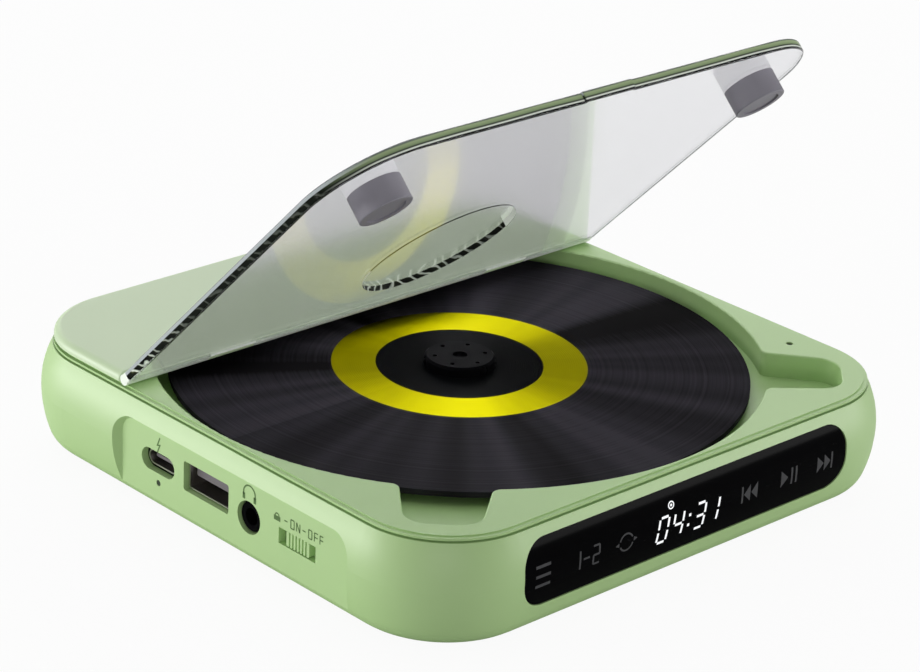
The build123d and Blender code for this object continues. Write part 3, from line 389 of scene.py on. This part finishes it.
# Small dark pieces: the jack, the turntable, its claws and the mechanism in glass-filled nylon
# and ABS, moulded black, with a dull sheen. The sockets' tongues are a greyer nylon, and the
# charge lamp is a smoked light pipe.
black_abs = moulded("black_abs", "#08080a", 0.5, shine=0.01)
dress(
    black_abs, "headphone_jack", "turntable", "disc_claw_a", "disc_claw_b", "disc_claw_c",
    "power_switch_body", "mechanism_chassis", "pickup_sled", "lens_holder", "speaker_frames",
    "lid_sensor", "inner_limit_switch",
)
grey_nylon = moulded("grey_nylon", "#6b666a", 0.5)
dress(grey_nylon, "usb_a_tongue", "usb_c_tongue")
smoked_pipe = moulded("smoked_light_pipe", "#2c3a28", 0.2)
dress(smoked_pipe, "charge_led")


# Feet, dampers and the turntable's pad in grey rubber, cones in pressed paper, boards under
# green lacquer, gears and the lamp block in white acetal, and the cell in its blue wrap. Each
# is matt but for the lacquer and the wrap, which have a low shine.
grey_rubber = moulded("grey_rubber", "#3a3a3c", 0.75)
dress(grey_rubber, "rubber_feet", "damper_grommets", "turntable_pad")
pressed_paper = moulded("pressed_paper", "#232322", 0.9, 0.2, grain_mm=0.8, rise_mm=0.05)
dress(pressed_paper, "speaker_cones")
board_lacquer = moulded("board_lacquer", "#1f5a34", 0.35)
dress(board_lacquer, "main_board", "display_board")
acetal = moulded("acetal", "#e6e4da", 0.45)
dress(acetal, "feed_gear", "feed_pinion", "sled_rack", "display_module")
cell_wrap = moulded("cell_wrap", "#2c4f8c", 0.35)
dress(cell_wrap, "battery_pack")


# The lens of the laser, a moulded bead of clear acrylic with a faint blue coat, pressed into
# its black holder.
coat_mm = 2
lens_acrylic, tree = empty_material("lens_acrylic")
at = put(tree, "TexCoord")["Object"]
coat = put(tree, "TexNoise", {"Vector": at, "Scale": 1000 / coat_mm})[0]
shade = put(tree, "Mix", {0: coat, 6: tint("#dfe4ff"), 7: tint("#cfd8fa")}, data_type="RGBA")[2]
feeds = {"Base Color": shade, "Roughness": 0.02, "IOR": 1.49, "Transmission Weight": 1.0}
put(tree, "OutputMaterial", {"Surface": put(tree, "BsdfPrincipled", feeds)[0]})
dress(lens_acrylic, "objective_lens")


# The lid. One sheet of clear acrylic, cut and polished all round, with a shallow round pocket
# turned into its underside over the hub. Two grey posts are bonded under its free corners.
# Its cut faces are not clear but are painted in black, white and green bands, as painted reflection
# of what the sheet would show there.
lid_tilt, hinge = math.radians(45.2), Vector((0, 0.0284, 0.02525))
lid_up = Vector((0, math.sin(lid_tilt), math.cos(lid_tilt)))
lid_out = Vector((0, -math.cos(lid_tilt), math.sin(lid_tilt)))
sheet_mm, hinge_bead_mm, chevron_mm = 2.3, 1.5, 3.6
wander_mm, ragged_mm, wander, ragging = 16, 5, 0.3, 2.2
chevrons_end, dark_begins = 0.018, 0.042               # m from the hinge, along the side edge
fray, painted_darkness = 0.03, 0.9                             # m along it, and the dark's share
lip_begins = 0.62                                      # share of the sheet's thickness
pocket_mm, reach_share = 19, 0.35                      # zone 38 mm wide, to 54 mm from the hinge
looks_back, looks_broad = -0.1, 0.55                   # shares of a face's normal
side_begins, side_full = 0.55, 0.95                    # the same, towards the side

clear_acrylic, tree = empty_material("polished_acrylic")
spot = put(tree, "TexCoord")
feeds = {0: spot["Object"], 1: hinge}
from_hinge = put(tree, "VectorMath", feeds, operation="SUBTRACT")[0]
rise, reach, turned, outward = (
    put(tree, "VectorMath", {0: vector, 1: way}, operation="DOT_PRODUCT")["Value"]
    for vector, way in (
        (from_hinge, lid_up), (from_hinge, lid_out), (spot["Normal"], lid_up),
        (spot["Normal"], lid_out),
    )
)
sideways, to_side = (
    put(tree, "Math", {0: put(tree, "SeparateXYZ", {0: vector})["X"]}, operation="ABSOLUTE")[0]
    for vector in (from_hinge, spot["Normal"])
)
feeds = {0: rise, 1: 1000 / sheet_mm, 2: 0.5}
through = put(tree, "Math", feeds, operation="MULTIPLY_ADD")[0]

# Across the front edge the painted reflection bands run one over the other, and wander slowly along
# it.
feeds = {"Vector": spot["Object"], "Scale": 1000 / wander_mm, "Detail": 1.0}
drift = put(tree, "Math", {0: put(tree, "TexNoise", feeds)[0], 1: 0.5}, operation="SUBTRACT")[0]
moved = put(tree, "Math", {0: drift, 1: wander, 2: through}, operation="MULTIPLY_ADD")[0]

# Down the side edges and round the pocket the painted bands slant, as ragged chevrons.
feeds = {"Vector": spot["Object"], "Scale": 1000 / ragged_mm, "Detail": 2.0}
ragged = put(tree, "TexNoise", feeds)[0]
along_edge = put(tree, "Math", {0: reach, 1: sideways}, operation="ADD")[0]
feeds = {0: along_edge, 1: 1000 / chevron_mm, 2: through}
slant = put(tree, "Math", feeds, operation="MULTIPLY_ADD")[0]
slant = put(tree, "Math", {0: ragged, 1: ragging, 2: slant}, operation="MULTIPLY_ADD")[0]
slant = put(tree, "Math", {0: slant}, operation="FRACT")[0]
painted_bands, painted_chevrons = (put(tree, "ValToRGB", {0: factor})[0] for factor in (moved, slant))
for ramp, stops in (
    (painted_bands, (
        (0.0, "#060806"), (0.16, "#0b0e0b"), (0.20, "#dfe6da"), (0.30, "#dfe6da"),
        (0.34, "#10150f"), (0.42, "#5f6a58"), (0.52, "#8ea178"), (0.76, "#a3b48c"),
        (0.86, "#68736a"), (1.0, "#a9afae"),
    )),
    (painted_chevrons, (
        (0.0, "#0a0c0a"), (0.48, "#1d2219"), (0.54, "#4b5230"), (0.62, "#dde5d8"),
        (0.80, "#aab5a6"), (0.88, "#0a0c0a"),
    )),
):
    elements = ramp.node.color_ramp.elements
    elements[0].color, elements[1].position = tint(stops[0][1]), stops[-1][0]
    elements[1].color = tint(stops[-1][1])
    for place, code in stops[1:-1]:
        elements.new(place).color = tint(code)

# Away from the hinge the side edge is painted dark, as painted shade, and its outer lip is painted
# pale all along, as painted reflection.
feeds = {0: ragged, 1: fray, 2: reach}
feeds = {"Value": put(tree, "Math", feeds, operation="MULTIPLY_ADD")[0]}
feeds |= {"From Min": chevrons_end, "From Max": dark_begins}
painted_fade = put(tree, "MapRange", feeds)[0]
painted_fade = put(tree, "Math", {0: painted_fade, 1: painted_darkness}, operation="MULTIPLY")[0]
painted_side_edge = put(tree, "Mix", {0: painted_fade, 6: painted_chevrons, 7: tint("#171b16")}, data_type="RGBA")[2]
painted_pale_lip = put(tree, "Math", {0: through, 1: lip_begins}, operation="GREATER_THAN")[0]
painted_side_edge = put(tree, "Mix", {0: painted_pale_lip, 6: painted_side_edge, 7: tint("#aeb5b8")}, data_type="RGBA")[2]

# The pocket's wall is slanted too, and painted pale, as a painted highlight, on the side that looks
# back at the hinge.
inward = put(tree, "Math", {0: reach, 1: reach_share}, operation="MULTIPLY")[0]
inward = put(tree, "Math", {0: sideways, 1: inward}, operation="MAXIMUM")[0]
in_pocket = put(tree, "Math", {0: inward, 1: pocket_mm / 1000}, operation="LESS_THAN")[0]
painted_pale_wall = put(tree, "Math", {0: outward, 1: looks_back}, operation="LESS_THAN")[0]
painted_pale_wall = put(tree, "Math", {0: in_pocket, 1: painted_pale_wall}, operation="MULTIPLY")[0]
feeds = {"Value": to_side, "From Min": side_begins, "From Max": side_full}
to_side = put(tree, "MapRange", feeds)[0]
slanted = put(tree, "Math", {0: to_side, 1: in_pocket}, operation="MAXIMUM")[0]
past_bead = put(tree, "Math", {0: reach, 1: hinge_bead_mm / 1000}, operation="GREATER_THAN")[0]
painted_cut_face = put(tree, "Mix", {0: slanted, 6: painted_bands, 7: painted_side_edge}, data_type="RGBA")[2]
painted_cut_face = put(tree, "Mix", {0: painted_pale_wall, 6: painted_cut_face, 7: tint("#e4eae0")}, data_type="RGBA")[2]
# Painted highlight: the rounded bead along the hinge is painted near white.
painted_cut_face = put(tree, "Mix", {0: past_bead, 6: tint("#f0f8ec"), 7: painted_cut_face}, data_type="RGBA")[2]

# The two broad faces, which look up or down, are clear.
flat_face = put(tree, "Math", {0: turned}, operation="ABSOLUTE")[0]
flat_face = put(tree, "Math", {0: flat_face, 1: looks_broad}, operation="GREATER_THAN")[0]
clear = put(tree, "Math", {0: flat_face, 1: past_bead}, operation="MULTIPLY")[0]
feeds = {
    "Base Color": put(tree, "Mix", {0: clear, 6: painted_cut_face, 7: tint("#fafafd")}, data_type="RGBA")[2],
    "Roughness": 0.07, "IOR": 1.49, "Specular IOR Level": 0.02, "Transmission Weight": clear,
}
put(tree, "OutputMaterial", {"Surface": put(tree, "BsdfPrincipled", feeds)[0]})
dress(clear_acrylic, "lid")
grey_abs = moulded("grey_abs", "#85828b", 0.5, shine=0.4)
dress(grey_abs, "lid_posts")


# The disc. Pressed polycarbonate, printed black with a foil-yellow ring, and tracked with fine
# grooves. Its sheen is painted into the colour: light wedges that run out over the black from the
# middle, and two bright lobes on the foil. The real grooves are too fine to show, so they are drawn
# about half a millimetre apart.
ring_in, ring_out = 17.36, 26.5                        # mm from the disc's middle
groove_mm, groove_rise_mm, track_mm = 0.45, 0.02, 0.7
wedge_scale, track_depth, track_base = 2.2, 0.36, 0.82
streak_low, streak_high = 0.36, 0.66
sheen_way = math.radians(46)                           # the foil's brighter lobes run this way
lobe_share, wedge_share, sheen_low, sheen_high = 0.5, 0.7, -0.1, 0.75

disc_print, tree = empty_material("printed_disc")
axes = put(tree, "SeparateXYZ", {0: put(tree, "TexCoord")["Object"]})
flat = put(tree, "CombineXYZ", {"X": axes["X"], "Y": axes["Y"]})[0]
radius = put(tree, "VectorMath", {0: flat}, operation="LENGTH")["Value"]
turn = put(tree, "Math", {0: axes["Y"], 1: axes["X"]}, operation="ARCTAN2")[0]
past_in, past_out = (
    put(tree, "Math", {0: radius, 1: edge / 1000}, operation="GREATER_THAN")[0]
    for edge in (ring_in, ring_out)
)
on_ring = put(tree, "Math", {0: past_in, 1: past_out}, operation="SUBTRACT")[0]

# Painted sheen: the black beyond the ring is painted lighter in wedges from the middle, broken along
# the tracks.
feeds = {"W": turn, "Scale": wedge_scale, "Detail": 2.0}
painted_wedges = put(tree, "TexNoise", feeds, noise_dimensions="1D")[0]
feeds = {"W": radius, "Scale": 1000 / track_mm, "Detail": 2.0}
tracks = put(tree, "TexNoise", feeds, noise_dimensions="1D")[0]
feeds = {0: tracks, 1: track_depth, 2: track_base}
tracks = put(tree, "Math", feeds, operation="MULTIPLY_ADD")[0]
painted_streaks = put(tree, "Math", {0: painted_wedges, 1: tracks}, operation="MULTIPLY")[0]
feeds = {"Value": painted_streaks, "From Min": streak_low, "From Max": streak_high}
painted_streaks = put(tree, "MapRange", feeds)[0]
feeds = {0: painted_streaks, 6: tint("#0e0d0f"), 7: tint("#38363c")}
black_with_painted_sheen = put(tree, "Mix", feeds, data_type="RGBA")[2]
black = put(tree, "Mix", {0: past_out, 6: tint("#08090a"), 7: black_with_painted_sheen}, data_type="RGBA")[2]

# Painted highlight: the foil is painted brighter in two lobes along the way set above, and in the
# wedges.
painted_lobes = put(tree, "Math", {0: turn, 1: 2.0, 2: -2 * sheen_way}, operation="MULTIPLY_ADD")[0]
painted_lobes = put(tree, "Math", {0: painted_lobes}, operation="COSINE")[0]
painted_lobes = put(tree, "Math", {0: painted_lobes, 1: lobe_share}, operation="MULTIPLY")[0]
painted_sheen = put(tree, "Math", {0: painted_wedges, 1: wedge_share, 2: painted_lobes}, operation="MULTIPLY_ADD")[0]
feeds = {"Value": painted_sheen, "From Min": sheen_low, "From Max": sheen_high}
painted_sheen = put(tree, "MapRange", feeds)[0]
foil_with_painted_sheen = put(tree, "Mix", {0: painted_sheen, 6: tint("#625d00"), 7: tint("#a29b00")}, data_type="RGBA")[2]
colour = put(tree, "Mix", {0: on_ring, 6: black, 7: foil_with_painted_sheen}, data_type="RGBA")[2]

waves = {0: radius, 1: 2000 * math.pi / groove_mm}
groove = put(tree, "Math", waves, operation="MULTIPLY")[0]
groove = put(tree, "Math", {0: groove}, operation="SINE")[0]
feeds = {"Height": groove, "Strength": 0.25, "Distance": groove_rise_mm / 1000}
relief = put(tree, "Bump", feeds)[0]
around = put(tree, "VectorMath", {0: flat, 1: (0, 0, 1)}, operation="CROSS_PRODUCT")[0]
spaces = {"vector_type": "VECTOR", "convert_from": "OBJECT", "convert_to": "WORLD"}
feeds = {
    "Base Color": colour, "Metallic": on_ring, "Roughness": 0.36, "Anisotropic": 1.0,
    "Specular IOR Level": 0.004, "Specular Tint": tint("#ffffbc"),
    "Normal": relief, "Tangent": put(tree, "VectorTransform", {0: around}, **spaces)[0],
}
put(tree, "OutputMaterial", {"Surface": put(tree, "BsdfPrincipled", feeds)[0]})
dress(disc_print, "disc")
